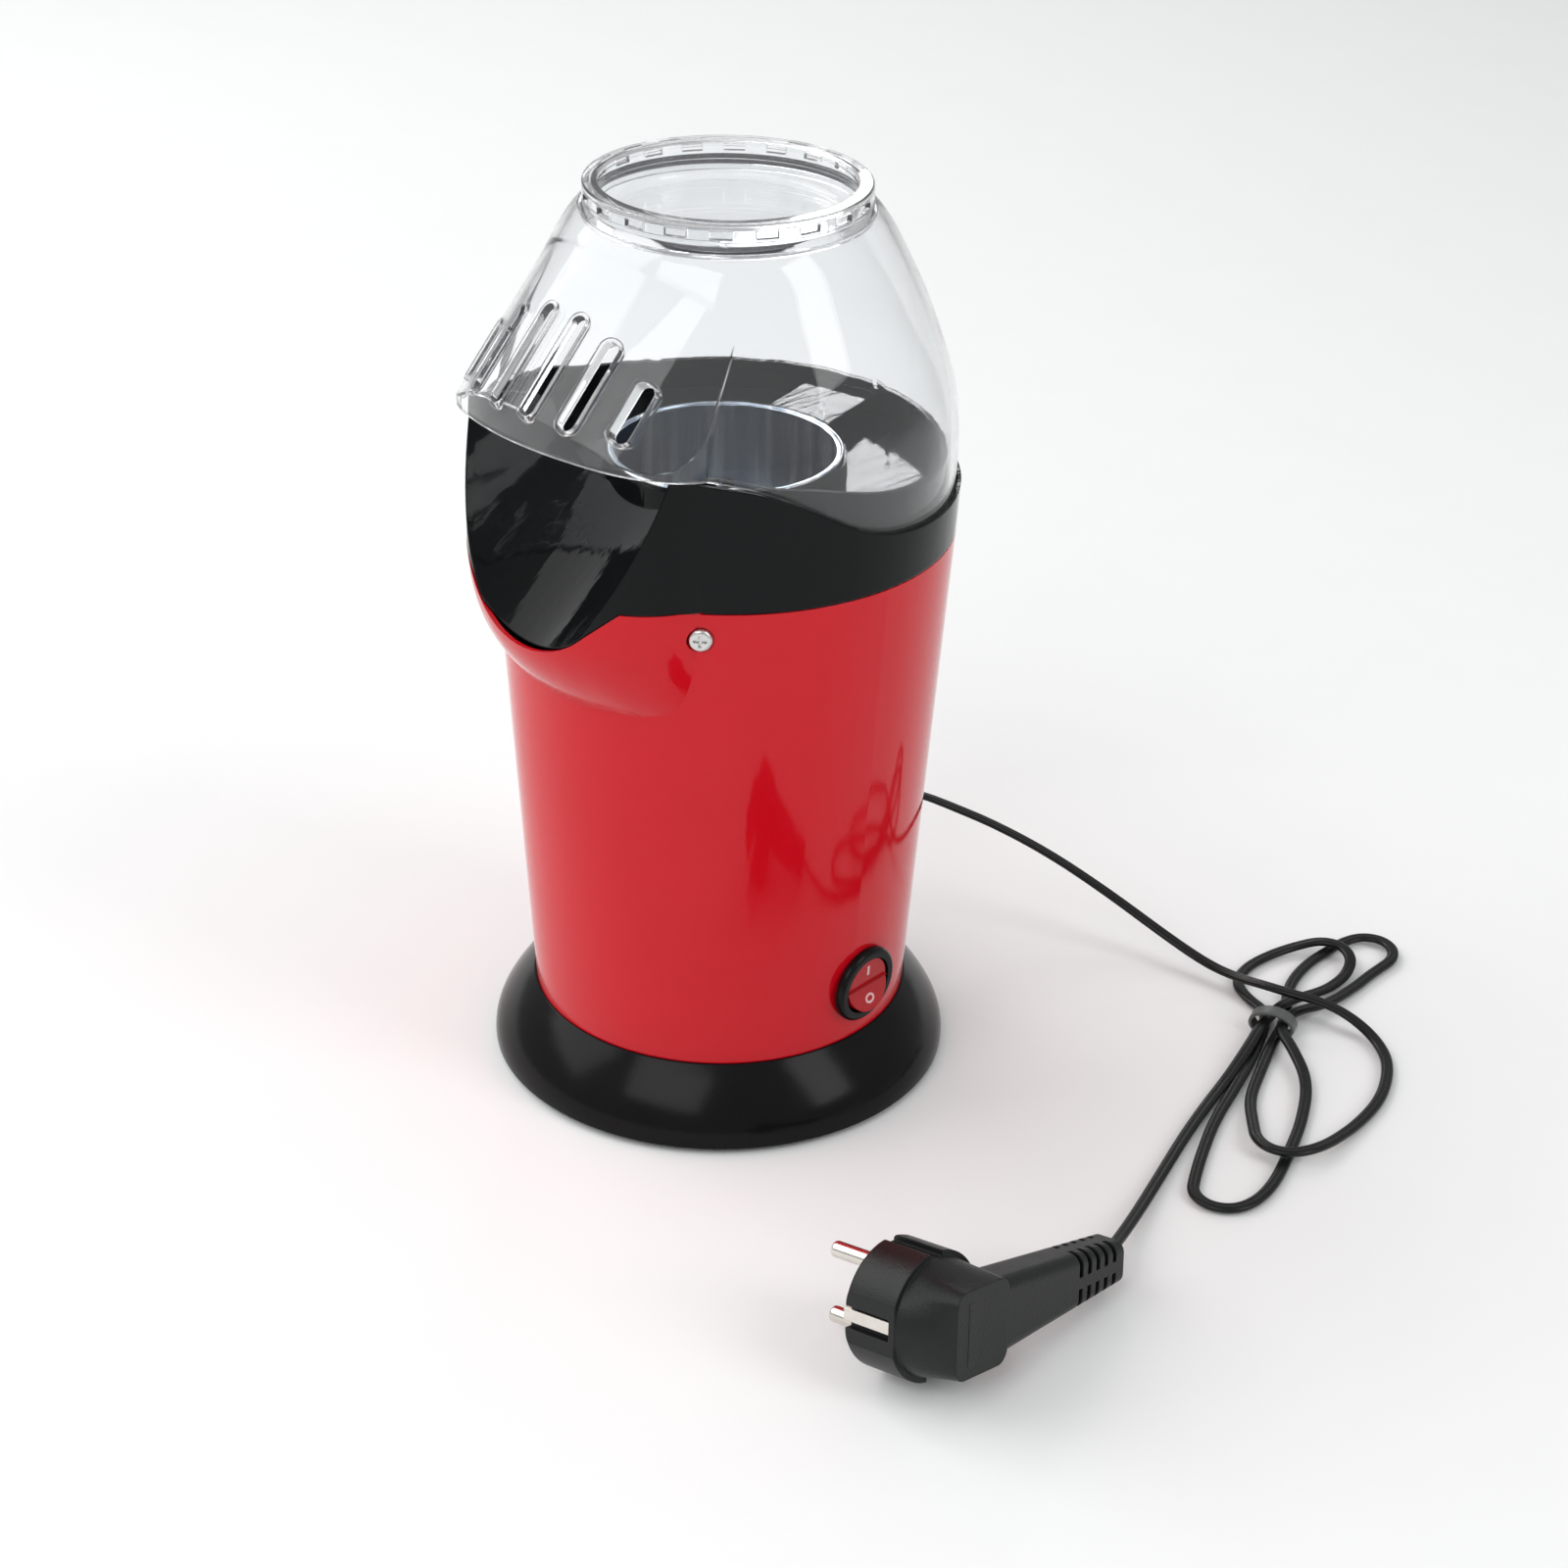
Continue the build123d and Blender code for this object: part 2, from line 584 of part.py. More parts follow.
def switch_terminals():
    blade = block((-3.1, 3.1), (-0.4, 0.4), (-23, -15.8))
    return [switch_place() * Pos(0, y, 0) * blade for y in (-5, 5)]


# Cord and plug


def cord_hole():
    return Plane(origin=(0, shell_radius(CORD_HEIGHT), CORD_HEIGHT), x_dir=(1, 0, 0), z_dir=(0, 1, 0))


def cord_bush():
    """Grommet in the shell with a tapered tail round the cord."""
    profile = [
        (0, -3.4), (6.4, -3.4), (6.4, -2.4), (4.5, -2.3), (4.5, 0.5), (6.4, 0.7), (6.0, 3), (4.4, 6),
        (2.4, BUSH_LENGTH), (0, BUSH_LENGTH), (0, -3.4),
    ]
    return cord_hole() * revolve(Plane.XZ * make_face(Polyline(profile).edges()), Axis.Z)


def arc_radii(route):
    """Each corner's radius: 0.45 of its shorter run over the tangent of half its turn."""
    points = [Vector(*point) for point in route]
    radii = []
    for before, corner, after in zip(points, points[1:], points[2:]):
        into, away = corner - before, after - corner
        turn = radians(into.get_angle(away))
        radii.append(0.45 * min(into.length, away.length) / tan(turn / 2))
    return radii


def cord_tube(route, name, radius=CORD_RADIUS):
    radii = arc_radii(route)
    path = FilletPolyline(*route, radius=radii)
    first = path.edges()[0]
    section = Plane(origin=route[0], z_dir=first % 0) * Circle(radius)
    tube = sweep(section, path=path)
    print(name, "length", round(path.length, 1), "radii", [round(r, 1) for r in radii])
    print(name, "volume over section times length", round(tube.volume / (pi * radius**2 * path.length), 4))
    return tube


def loop_blank(points, height):
    return extrude(make_face(Spline(points, periodic=True)), height)


def tie_place():
    return Pos(*TIE_PLACE) * Rot(0, 0, TIE_TURN)


def oval_bar(wide, high, long):
    return Pos(0, long / 2, 0) * extrude(Plane.XZ * Ellipse(wide / 2, high / 2), long)


def cord_hank():
    """Outer shape of the tied loops: three lobes that meet in the waist under the tie."""
    lobes = [loop_blank(points, LOOP_HEIGHT) for points in (LOOP_RIGHT, LOOP_FRONT, LOOPS_BACK)]
    wide, long, high = WAIST
    waist = tie_place() * Pos(0, 0, high / 2) * oval_bar(wide, high, 3 * long)
    collar = tie_place() * Pos(0, 0, high / 2) * Box(80, long, high + 8)
    return fuse(lobes) - collar + waist


def hank_tie():
    wide, long, high = WAIST
    band = oval_bar(wide + 2.2, high + 2.0, long)
    band = fillet(band.edges().filter_by(GeomType.ELLIPSE), 0.6) - oval_bar(wide, high, long + 2)
    return tie_place() * ((Pos(0, 0, high / 2) * band) & block((-40, 40), (-20, 20), (0.4, 40)))


def plug_body():
    front = Pos(0, 0, -PLUG_FRONT / 2) * Cylinder(PLUG_RADIUS, PLUG_FRONT)
    front = fillet(front.edges().group_by(Axis.Z)[-1], 1.5)
    front &= Box(2 * PLUG_RADIUS - 3, 60, 60)
    face = Pos(0, 0, -PLUG_FRONT) * Circle(PLUG_RADIUS - 1.6)
    heel = Plane(origin=(-2, 0, -32), x_dir=(1, 0, 0), z_dir=(0, 0, 1)) * RectangleRounded(22, 25, 4)
    body = front + loft([heel, face])
    root = Plane(origin=(4, 0, -HANDLE_DEPTH), x_dir=(0, 1, 0), z_dir=(-1, 0, 0))
    end = Plane(origin=(-HANDLE_END, 0, -HANDLE_DEPTH), x_dir=(0, 1, 0), z_dir=(-1, 0, 0))
    body += loft([root * RectangleRounded(25, 15, 4), end * RectangleRounded(12.6, 11.8, 3.2)])
    body -= earth_grooves()
    body -= [Pos(0, side * PLUG_RADIUS, -7) * Box(5, 4, 20) for side in (-1, 1)]
    body -= [Pos(x, 0, -HANDLE_DEPTH) * strain_slot() for x in range(-63, -44, 4)]
    body -= [Pos(0, side * PIN_SPACING / 2, -3) * Cylinder(PIN_ROOT_RADIUS, 6.01) for side in (-1, 1)]
    return PLUG_PLACE * body


def strain_slot():
    """Cut round the cable side's corners that leaves a core and a strip along the middle of each face."""
    return Box(1.8, 30, 30) - Box(3, 7.6, 7.6) - Box(3, 3.4, 40) - Box(3, 40, 3.4)


def earth_grooves():
    edge = PLUG_RADIUS - 1.5
    return [Pos(side * edge, 0, -6.5) * Box(5, 6.4, 17) for side in (-1, 1)]


def plug_pins():
    pins = []
    for side in (-1, 1):
        pin = disc(PIN_RADIUS, PIN_STEP, PIN_LENGTH)
        pin = fillet(pin.edges().group_by(Axis.Z)[-1], 1.4)
        pin += disc(PIN_ROOT_RADIUS, -6, PIN_STEP)
        pins.append(PLUG_PLACE * Pos(0, side * PIN_SPACING / 2, 0) * pin)
    return pins


def plug_earth_clips():
    clips = []
    for side in (-1, 1):
        strip = Pos(side * (PLUG_RADIUS - 3.4), 0, -6.6) * Box(1.2, 3.6, 16.6)
        clips.append(PLUG_PLACE * strip)
    return clips


def inner_wires():
    """Live and neutral leads inside, from the bush round the fan housing to the switch."""
    wires = []
    for x, z, end in ((-2, 54, 37.5), (2.5, 57, 47.5)):
        drop = (end - z) / 4
        route = [
            (x, 55.4, z), (13, 51, z), (30, 43, z + drop), (41, 28, z + 2 * drop),
            (41.5, 14, z + 3 * drop), (39, 6.8, end),
        ]
        wires.append(cord_tube(route, "wire", 1.1))
    return wires


save(base_ring(), "base_ring")
save(bottom_plate(), "bottom_plate")
save(rubber_feet(), "rubber_feet")
save(base_screws(), "base_screws")
save(outer_shell(), "outer_shell")
save(shell_screws(), "shell_screws")
save(upper_housing(), "upper_housing")
save(dome_cover(), "dome_cover")
save(measuring_cup(), "measuring_cup")
save(popping_chamber(), "popping_chamber")
save(air_duct(), "air_duct")
save(heater_frame(), "heater_frame")
save(heater_coil(), "heater_coil")
save(thermostat(), "thermostat")
save(thermal_fuse(), "thermal_fuse")
save(fan_housing(), "fan_housing")
save(motor_can(), "motor_can")
save(motor_screws(), "motor_screws")
save(motor_shaft(), "motor_shaft")
save(fan_impeller(), "fan_impeller")
save(rectifier_board(), "rectifier_board")
save(switch_body(), "switch_body")
save(switch_rocker(), "switch_rocker")
save(switch_terminals(), "switch_terminals")
save(cord_bush(), "cord_bush")
save(inner_wires(), "inner_wires")
save(cord_tube(CORD_ROUTE, "cord"), "power_cord")
save(cord_tube(TAIL_ROUTE, "tail"), "cord_tail")
save(cord_hank(), "cord_hank")
save(hank_tie(), "hank_tie")
save(plug_body(), "plug_body")
save(plug_pins(), "plug_pins")
save(plug_earth_clips(), "plug_earth_clips")
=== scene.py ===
import json
from math import cos, pi, radians, sin

import bpy
from mathutils import Matrix, Vector


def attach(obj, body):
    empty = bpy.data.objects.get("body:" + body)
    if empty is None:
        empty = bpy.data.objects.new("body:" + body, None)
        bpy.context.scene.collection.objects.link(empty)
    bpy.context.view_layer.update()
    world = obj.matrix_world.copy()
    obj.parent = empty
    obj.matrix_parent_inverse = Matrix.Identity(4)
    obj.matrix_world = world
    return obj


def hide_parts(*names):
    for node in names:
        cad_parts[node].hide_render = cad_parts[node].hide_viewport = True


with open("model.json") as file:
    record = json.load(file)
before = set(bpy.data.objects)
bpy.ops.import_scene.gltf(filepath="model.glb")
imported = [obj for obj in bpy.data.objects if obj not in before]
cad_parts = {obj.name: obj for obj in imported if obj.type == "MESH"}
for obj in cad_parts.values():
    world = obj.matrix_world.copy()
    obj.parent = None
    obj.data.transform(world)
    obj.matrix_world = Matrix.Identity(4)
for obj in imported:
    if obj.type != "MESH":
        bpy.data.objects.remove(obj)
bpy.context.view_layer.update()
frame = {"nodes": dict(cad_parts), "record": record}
nodes = frame["nodes"]

# Lengths are metres and angles degrees. The round body's axis stands SHIFT behind the frame's origin.
SHIFT = 0.00425

CAMERA_PLACE = (0.621756, -0.565484, 0.548749)
CAMERA_AZIMUTH = 46.197
CAMERA_ELEVATION = 28.618
CAMERA_ROLL = 1.258
LENS_MM = 71.84
SENSOR_MM = 36.0

SKY_STRENGTH = 0.5
SKY_LOW = 0.80
SKY_HIGH = 1.0
SKY_HIGH_FROM = 0.9

FLOOR_HALF = 12.0
FLOOR_DROP = 0.0002

# Name, place, target, width, height, watts and roll of each rectangular lamp. The one named deck is small,
# and is there for the light patch that the deck beside the chamber mirrors.
SOFTBOXES = [
    ("key", (-1.3, -0.9, 1.4), (0, 0, 0.12), 2.0, 1.5, 21, 0),
    ("fill", (0.5, -1.6, 1.5), (0, 0, 0.1), 1.4, 1.0, 12, 0),
    ("side", (1.6, 0.5, 1.2), (0, 0, 0.12), 0.7, 1.2, 9, 0),
    ("deck", (-1.2, 1.27, 0.9335), (0.0348, 0.026, 0.2), 0.26, 0.175, 1.2, -144),
    ("rear", (-1.4, 0.2, 1.6), (0, 0, 0.18), 0.8, 0.8, 5, 0),
]

# The shell's cone, and the rocker switch on it. The rocker is drawn at one end of its travel.
SHELL_FOOT = 0.024
SHELL_TOP = 0.178
SHELL_FOOT_RADIUS = 0.0578
SHELL_TOP_RADIUS = 0.068
SWITCH_AZIMUTH = 94.5
SWITCH_HEIGHT = 0.0425
ROCKER_TILT = 10

# Printed marks: half sizes, places across the rocker and above its axis, and each half face's slope.
MARK_THICK = 0.00012
BAR_HALF = (0.00045, 0.0016)
RING_OUTER = (0.0019, 0.0016)
RING_INNER = (0.0012, 0.0009)
BAR_PLACE = (0, 0.0048, 0.00290)
RING_PLACE = (0, -0.0046, 0.00286)
FACE_SLOPE = 10

CORD_WIDTH = 0.0038
CORD_THICK = 0.0023
GROOVE_DEPTH = 0.22
GROOVE_REACH = 0.3
CORE_SQUARENESS = 0.75
ROUTE_STEPS = 8

# Route of the cord from the body's axis: out of the bush and down, over the tied strands into the first
# loop, and then back and forth through the tie.
ARRIVAL = [
    (0, 0.072, 0.0555), (0, 0.0819, 0.0555), (0.0012, 0.089, 0.0526), (0.007, 0.0975, 0.0475),
    (0.017, 0.108, 0.041), (0.031, 0.120, 0.0315), (0.049, 0.130, 0.0205), (0.070, 0.136, 0.011),
    (0.086, 0.1386, 0.0064), (0.098, 0.1392, 0.0066), (0.109, 0.1396, 0.0086), (0.119, 0.1422, 0.0088),
]
LOOP_RIGHT = [
    (0.1282, 0.1468, 0.0080), (0.1377, 0.1503, 0.0050), (0.1493, 0.1485, 0.0024), (0.1592, 0.1411, 0.0017),
    (0.1685, 0.1253, 0.0017), (0.1723, 0.1095, 0.0017), (0.1742, 0.0945, 0.0030), (0.1744, 0.0840, 0.0046),
    (0.1712, 0.0768, 0.0048), (0.1652, 0.0738, 0.0046), (0.1584, 0.0758, 0.0040), (0.1530, 0.0812, 0.0032),
    (0.1419, 0.0929, 0.0018), (0.1344, 0.1073, 0.0017),
]
LOOP_FAR = [
    (0.1262, 0.1236, 0.0017), (0.1208, 0.1375, 0.0017), (0.1130, 0.1470, 0.0017), (0.1070, 0.1572, 0.0017),
    (0.1035, 0.1703, 0.0017), (0.1029, 0.1819, 0.0017), (0.1030, 0.1905, 0.0018), (0.1053, 0.1968, 0.0021),
    (0.1110, 0.1999, 0.0024), (0.1172, 0.1985, 0.0022), (0.1210, 0.1932, 0.0019), (0.1214, 0.1870, 0.0017),
    (0.1218, 0.1800, 0.0017), (0.1232, 0.1700, 0.0017), (0.1245, 0.1540, 0.0026),
]
LOOP_FRONT = [
    (0.1216, 0.1392, 0.0047), (0.1252, 0.1275, 0.0052), (0.1350, 0.1225, 0.0046), (0.1486, 0.1135, 0.0026),
    (0.1602, 0.0960, 0.0017), (0.1680, 0.0800, 0.0017), (0.1750, 0.0645, 0.0017), (0.1772, 0.0530, 0.0017),
    (0.1752, 0.0452, 0.0017), (0.1690, 0.0410, 0.0017), (0.1617, 0.0423, 0.0017), (0.1572, 0.0490, 0.0017),
    (0.1512, 0.0590, 0.0017), (0.1422, 0.0757, 0.0017), (0.1350, 0.0939, 0.0017),
]
LOOP_LEFT = [
    (0.1272, 0.1122, 0.0017), (0.1202, 0.1262, 0.0017), (0.1135, 0.1365, 0.0017), (0.1030, 0.1385, 0.0017),
    (0.0950, 0.1432, 0.0017), (0.0915, 0.1530, 0.0017), (0.0916, 0.1640, 0.0017), (0.0946, 0.1740, 0.0026),
    (0.1000, 0.1812, 0.0046), (0.1070, 0.1838, 0.0047), (0.1135, 0.1808, 0.0038), (0.1168, 0.1740, 0.0022),
    (0.1178, 0.1660, 0.0017), (0.1180, 0.1580, 0.0024),
]
TAIL = [
    (0.1160, 0.1420, 0.0046), (0.1195, 0.1270, 0.0050), (0.1250, 0.1126, 0.0040), (0.1300, 0.0970, 0.0022),
    (0.1345, 0.0820, 0.0017), (0.1408, 0.0640, 0.0017), (0.1490, 0.0440, 0.0020), (0.1580, 0.0230, 0.0034),
    (0.1650, 0.0070, 0.0060), (0.1702, -0.0050, 0.0088), (0.1725, -0.0110, 0.0104),
]


# Camera and light


def add_object(name, data):
    made = bpy.data.objects.new(name, data)
    bpy.context.scene.collection.objects.link(made)
    return made


def make_camera():
    data = bpy.data.cameras.new("camera")
    data.lens = LENS_MM
    data.sensor_width = SENSOR_MM
    camera = add_object("camera", data)
    around = Matrix.Rotation(radians(CAMERA_AZIMUTH), 4, "Z")
    down = Matrix.Rotation(radians(90 - CAMERA_ELEVATION), 4, "X")
    roll = Matrix.Rotation(radians(CAMERA_ROLL), 4, "Z")
    camera.matrix_world = Matrix.Translation(CAMERA_PLACE) @ around @ down @ roll
    bpy.context.scene.camera = camera


def make_softbox(name, place, target, width, height, watts, roll):
    data = bpy.data.lights.new(name, "AREA")
    data.shape = "RECTANGLE"
    data.size = width
    data.size_y = height
    data.energy = watts
    light = add_object(name, data)
    light.location = place
    aim = (Vector(target) - Vector(place)).to_track_quat("-Z", "Y").to_matrix()
    light.rotation_euler = (aim @ Matrix.Rotation(radians(roll), 3, "Z")).to_euler()


def make_world():
    """A plain sky, a little darker at the horizon."""
    world = bpy.data.worlds.new("studio")
    bpy.context.scene.world = world
    world.use_nodes = True
    tree = world.node_tree
    background = tree.nodes["Background"]
    background.inputs["Strength"].default_value = SKY_STRENGTH
    where = tree.nodes.new("ShaderNodeTexCoord")
    split = tree.nodes.new("ShaderNodeSeparateXYZ")
    ramp = tree.nodes.new("ShaderNodeValToRGB")
    low, high = ramp.color_ramp.elements
    low.position = 0.0
    low.color = (SKY_LOW, SKY_LOW, SKY_LOW, 1)
    high.position = SKY_HIGH_FROM
    high.color = (SKY_HIGH, SKY_HIGH, SKY_HIGH, 1)
    tree.links.new(where.outputs["Generated"], split.inputs[0])
    tree.links.new(split.outputs["Z"], ramp.inputs[0])
    tree.links.new(ramp.outputs[0], background.inputs["Color"])


def make_floor(materials):
    corners = [(-1, -1), (1, -1), (1, 1), (-1, 1)]
    verts = [(x * FLOOR_HALF, y * FLOOR_HALF, -FLOOR_DROP) for x, y in corners]
    floor = mesh_object("floor", verts, [(0, 1, 2, 3)], smooth=False)
    floor.data.materials.append(materials["floor_paper"])


# Materials

# Each look is a mix of a dark and a light colour and of two roughnesses by noise of one scale, with a
# bump by finer noise, edges softened over a radius, and the shader's own sockets.

PLASTICS = {
    "black_plastic": {
        "dark": (0.004, 0.004, 0.0045), "light": (0.008, 0.008, 0.0085), "rough": (0.12, 0.22), "scale": 60,
        "bump": 0.08, "bump_scale": 1500, "edge": 0.0005, "Specular IOR Level": 0.13,
    },
    "black_gloss": {
        "dark": (0.003, 0.0034, 0.0038), "light": (0.006, 0.0066, 0.0072), "rough": (0.03, 0.09), "scale": 45,
        "bump": 0.5, "bump_scale": 170, "stretch": (1, 0.12, 0.3), "depth": 0.0004, "edge": 0.0007,
        "Specular IOR Level": 0.14,
    },
    "clear_plastic": {
        "dark": (0.95, 0.965, 0.975), "light": (0.98, 0.985, 0.99), "rough": (0.0, 0.04), "scale": 20,
        "bump": 0.02, "bump_scale": 90, "edge": 0.0005,
        "Transmission Weight": 0.98, "IOR": 1.34, "Specular IOR Level": 0.4,
    },
    "red_plastic": {
        "dark": (0.36, 0.003, 0.006), "light": (0.46, 0.005, 0.01), "rough": (0.06, 0.14), "scale": 300,
        "bump": 0.05, "bump_scale": 900, "edge": 0.0004, "Specular IOR Level": 0.3,
    },
    "white_plastic": {
        "dark": (0.7, 0.69, 0.63), "light": (0.8, 0.79, 0.74), "rough": (0.35, 0.5), "scale": 80,
        "bump": 0.1, "bump_scale": 1500,
    },
    "plug_plastic": {
        "dark": (0.006, 0.0068, 0.007), "light": (0.012, 0.0135, 0.0135), "rough": (0.32, 0.46), "scale": 160,
        "bump": 0.5, "bump_scale": 1400, "edge": 0.0006, "Specular IOR Level": 0.32,
    },
    "cord_sheath": {
        "dark": (0.004, 0.0045, 0.0044), "light": (0.008, 0.009, 0.0086), "rough": (0.22, 0.38), "scale": 350,
        "bump": 0.25, "bump_scale": 1600, "Specular IOR Level": 0.3,
    },
    "tie_band": {
        "dark": (0.07, 0.078, 0.075), "light": (0.11, 0.12, 0.115), "rough": (0.25, 0.4), "scale": 500,
        "bump": 0.3, "bump_scale": 1800,
    },
    "wire_sheath": {
        "dark": (0.03, 0.08, 0.35), "light": (0.05, 0.12, 0.45), "rough": (0.3, 0.45), "scale": 300,
        "bump": 0.1, "bump_scale": 1500,
    },
    "rubber": {
        "dark": (0.015, 0.015, 0.015), "light": (0.03, 0.03, 0.03), "rough": (0.7, 0.85), "scale": 200,
        "bump": 0.4, "bump_scale": 3000,
    },
}

METALS = {
    "steel": {
        "dark": (0.55, 0.55, 0.54), "light": (0.75, 0.75, 0.74), "rough": (0.2, 0.36), "scale": 900,
        "bump": 0.3, "bump_scale": 2500, "edge": 0.0003, "Metallic": 1.0,
    },
    # Chamber metal: its colour runs in vertical noise streaks from blue-grey to near white. These are painted
    # highlight streaks on the chamber wall.
    "aluminium": {
        "dark": (0.48, 0.55, 0.64), "light": (1.0, 1.0, 0.99), "rough": (0.1, 0.3), "scale": 120,
        "bump": 0.06, "bump_scale": 500, "stretch": (1, 1, 0.05), "reach": (0.46, 0.6), "Metallic": 1.0,
    },
    "zinc_steel": {
        "dark": (0.42, 0.43, 0.44), "light": (0.62, 0.63, 0.64), "rough": (0.3, 0.5), "scale": 120,
        "bump": 0.2, "bump_scale": 900, "Metallic": 1.0,
    },
    "heater_wire": {
        "dark": (0.2, 0.17, 0.15), "light": (0.42, 0.38, 0.34), "rough": (0.4, 0.6), "scale": 900,
        "bump": 0.2, "bump_scale": 2000, "Metallic": 1.0,
    },
    "brass_contact": {
        "dark": (0.6, 0.42, 0.16), "light": (0.78, 0.58, 0.28), "rough": (0.25, 0.4), "scale": 700,
        "bump": 0.1, "bump_scale": 2000, "Metallic": 1.0,
    },
    "nickel": {
        "dark": (0.66, 0.63, 0.57), "light": (0.84, 0.82, 0.77), "rough": (0.14, 0.28), "scale": 500,
        "bump": 0.1, "bump_scale": 1500, "edge": 0.0003, "Metallic": 1.0,
    },
}

COATS_AND_BOARDS = {
    "red_shell": {
        "dark": (0.56, 0.003, 0.01), "light": (0.62, 0.005, 0.014), "rough": (0.05, 0.11), "scale": 25,
        "bump": 0.03, "bump_scale": 700, "edge": 0.0004, "Specular IOR Level": 0.3,
    },
    "white_print": {
        "dark": (0.74, 0.42, 0.43), "light": (0.84, 0.54, 0.54), "rough": (0.4, 0.5), "scale": 900,
        "bump": 0.1, "bump_scale": 2500,
    },
    "mica": {
        "dark": (0.38, 0.28, 0.16), "light": (0.62, 0.5, 0.32), "rough": (0.4, 0.6), "scale": 500,
        "bump": 0.3, "bump_scale": 1500,
    },
    "circuit_board": {
        "dark": (0.02, 0.12, 0.04), "light": (0.04, 0.2, 0.08), "rough": (0.3, 0.4), "scale": 600,
        "bump": 0.2, "bump_scale": 2000,
    },
    "floor_paper": {
        "dark": (0.92, 0.93, 0.93), "light": (0.94, 0.95, 0.95), "rough": (0.8, 0.9), "scale": 30,
        "Specular IOR Level": 0.1,
    },
}

LAMP_RAY_TINT = (0.95, 0.96, 0.97, 1)
COLOUR_DETAIL = 5.0
GRAIN_DETAIL = 3.0
EDGE_SAMPLES = 4


def add_noise(tree, mapping, scale, detail):
    noise = tree.nodes.new("ShaderNodeTexNoise")
    noise.inputs["Scale"].default_value = scale
    noise.inputs["Detail"].default_value = detail
    tree.links.new(mapping.outputs[0], noise.inputs["Vector"])
    return noise.outputs["Fac"]


def add_range(tree, value, ends, bounds):
    """Maps a value, so that it reaches the two bounds at the two ends."""
    spread = tree.nodes.new("ShaderNodeMapRange")
    spread.inputs["From Min"].default_value, spread.inputs["From Max"].default_value = ends
    spread.inputs["To Min"].default_value, spread.inputs["To Max"].default_value = bounds
    tree.links.new(value, spread.inputs["Value"])
    return spread.outputs[0]


def add_relief(tree, mapping, bump, bump_scale, depth, edge):
    """Normal of a surface with softened edges and a fine grain, or None where it has neither."""
    normal = None
    if edge:
        soft = tree.nodes.new("ShaderNodeBevel")
        soft.samples = EDGE_SAMPLES
        soft.inputs["Radius"].default_value = edge
        normal = soft.outputs[0]
    if bump:
        raised = tree.nodes.new("ShaderNodeBump")
        raised.inputs["Strength"].default_value = bump
        raised.inputs["Distance"].default_value = depth
        tree.links.new(add_noise(tree, mapping, bump_scale, GRAIN_DETAIL), raised.inputs["Height"])
        if normal:
            tree.links.new(normal, raised.inputs["Normal"])
        normal = raised.outputs[0]
    return normal


def surface(name, dark, light, rough, scale, bump=0.0, bump_scale=0.0, stretch=(1, 1, 1), reach=(0.0, 1.0),
            edge=0.0, depth=0.0002, **sockets):
    """Node material of one look, whose colour turns from dark to light between the noise values of reach."""
    material = bpy.data.materials.new(name)
    material.use_nodes = True
    tree = material.node_tree
    shader = tree.nodes["Principled BSDF"]
    where = tree.nodes.new("ShaderNodeTexCoord")
    mapping = tree.nodes.new("ShaderNodeMapping")
    mapping.inputs["Scale"].default_value = stretch
    tree.links.new(where.outputs["Object"], mapping.inputs["Vector"])
    cloud = add_noise(tree, mapping, scale, COLOUR_DETAIL)
    mix = tree.nodes.new("ShaderNodeMix")
    mix.data_type = "RGBA"
    mix.inputs["A"].default_value = (*dark, 1)
    mix.inputs["B"].default_value = (*light, 1)
    tree.links.new(add_range(tree, cloud, reach, (0.0, 1.0)), mix.inputs["Factor"])
    tree.links.new(mix.outputs["Result"], shader.inputs["Base Color"])
    tree.links.new(add_range(tree, cloud, (0.0, 1.0), rough), shader.inputs["Roughness"])
    normal = add_relief(tree, mapping, bump, bump_scale, depth, edge)
    if normal:
        tree.links.new(normal, shader.inputs["Normal"])
    for socket, value in sockets.items():
        shader.inputs[socket].default_value = value
    return material


def let_lamps_through(material):
    """Lets lamp rays straight through a clear wall, so that what it covers is lit."""
    tree = material.node_tree
    through = tree.nodes.new("ShaderNodeBsdfTransparent")
    through.inputs["Color"].default_value = LAMP_RAY_TINT
    ray = tree.nodes.new("ShaderNodeLightPath")
    mix = tree.nodes.new("ShaderNodeMixShader")
    tree.links.new(ray.outputs["Is Shadow Ray"], mix.inputs["Fac"])
    tree.links.new(tree.nodes["Principled BSDF"].outputs[0], mix.inputs[1])
    tree.links.new(through.outputs[0], mix.inputs[2])
    tree.links.new(mix.outputs[0], tree.nodes["Material Output"].inputs["Surface"])


def make_materials():
    looks = {**PLASTICS, **METALS, **COATS_AND_BOARDS}
    made = {name: surface(name, **look) for name, look in looks.items()}
    let_lamps_through(made["clear_plastic"])
    return made


def dress_nodes(materials):
    for part in frame["record"]["subparts"]:
        slots = nodes[part["node"]].data.materials
        slots.clear()
        slots.append(materials[part["material_slot"]])


# Meshes


def mesh_object(name, verts, faces, smooth=True):
    mesh = bpy.data.meshes.new(name)
    mesh.from_pydata([tuple(v) for v in verts], [], faces)
    mesh.validate()
    for face in mesh.polygons:
        face.use_smooth = smooth
    return add_object(name, mesh)


def ring_of(count):
    """Pairs of neighbours round a closed outline."""
    return [(j, (j + 1) % count) for j in range(count)]


# Cord


def route_line(points):
    """Points along the smooth line that the control points draw, in order from the body."""
    curve = bpy.data.curves.new("route", "CURVE")
    curve.dimensions = "3D"
    curve.resolution_u = ROUTE_STEPS
    spline = curve.splines.new("NURBS")
    spline.points.add(len(points) - 1)
    for target, (x, y, z) in zip(spline.points, points):
        target.co = (x, y + SHIFT, z, 1)
    spline.order_u = 3
    spline.use_endpoint_u = True
    carrier = add_object("route", curve)
    bpy.context.view_layer.update()
    mesh = bpy.data.meshes.new_from_object(carrier)
    line = [vertex.co.copy() for vertex in mesh.vertices]
    bpy.data.objects.remove(carrier)
    return line


